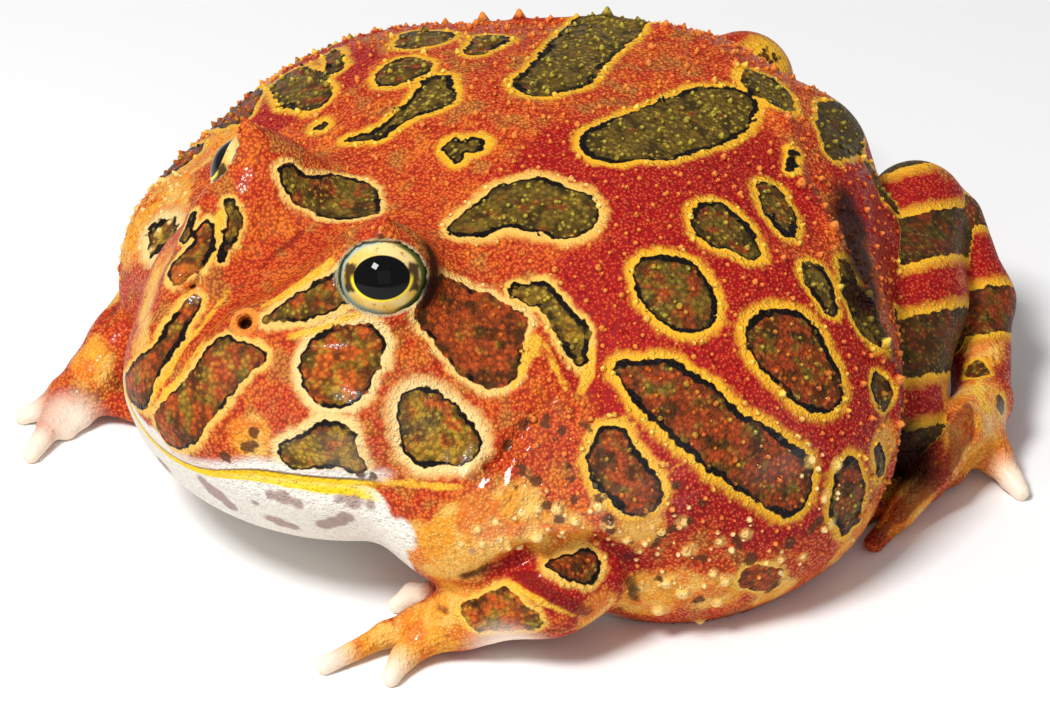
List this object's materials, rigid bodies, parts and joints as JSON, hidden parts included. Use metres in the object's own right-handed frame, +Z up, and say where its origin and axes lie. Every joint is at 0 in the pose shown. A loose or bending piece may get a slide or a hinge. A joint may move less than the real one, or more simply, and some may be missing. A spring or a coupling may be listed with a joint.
{
  "type": "argentine horned frog",
  "caption": "Life-size still model of a sitting Argentine horned frog: broad domed body, wide mouth, small upright horns over the eyes, limbs folded against the flanks.",
  "frame": {"origin": "a point under the middle of the belly, on the floor that the belly and the feet rest on", "axes": "+X is the frog's left side, -Y is the way it faces, +Z is up"},
  "size_m": [0.1359, 0.1473, 0.0594],
  "materials": {
    "skin_red": "wet, grainy red skin with dark olive patches",
    "skin_orange": "wet, grainy orange skin",
    "skin_cream": "smooth, damp pale skin",
    "skin_banded": "wet skin banded in red, yellow and dark olive",
    "eye_glass": "clear, wet gloss over a gold iris and a black pupil"
  },
  "bodies": {
    "root": {"torso": "skin_red", "head": "skin_red", "lower_jaw": "skin_cream", "horn_left": "skin_red", "horn_right": "skin_red", "eye_left": "eye_glass", "eye_right": "eye_glass", "upper_arm_left": "skin_orange", "upper_arm_right": "skin_orange", "forearm_left": "skin_orange", "forearm_right": "skin_orange", "hand_left": "skin_orange", "hand_right": "skin_orange", "thigh_left": "skin_banded", "thigh_right": "skin_banded", "shank_left": "skin_banded", "shank_right": "skin_banded", "tarsus_left": "skin_banded", "tarsus_right": "skin_banded", "foot_left": "skin_orange", "foot_right": "skin_orange"}
  },
  "joints": []
}
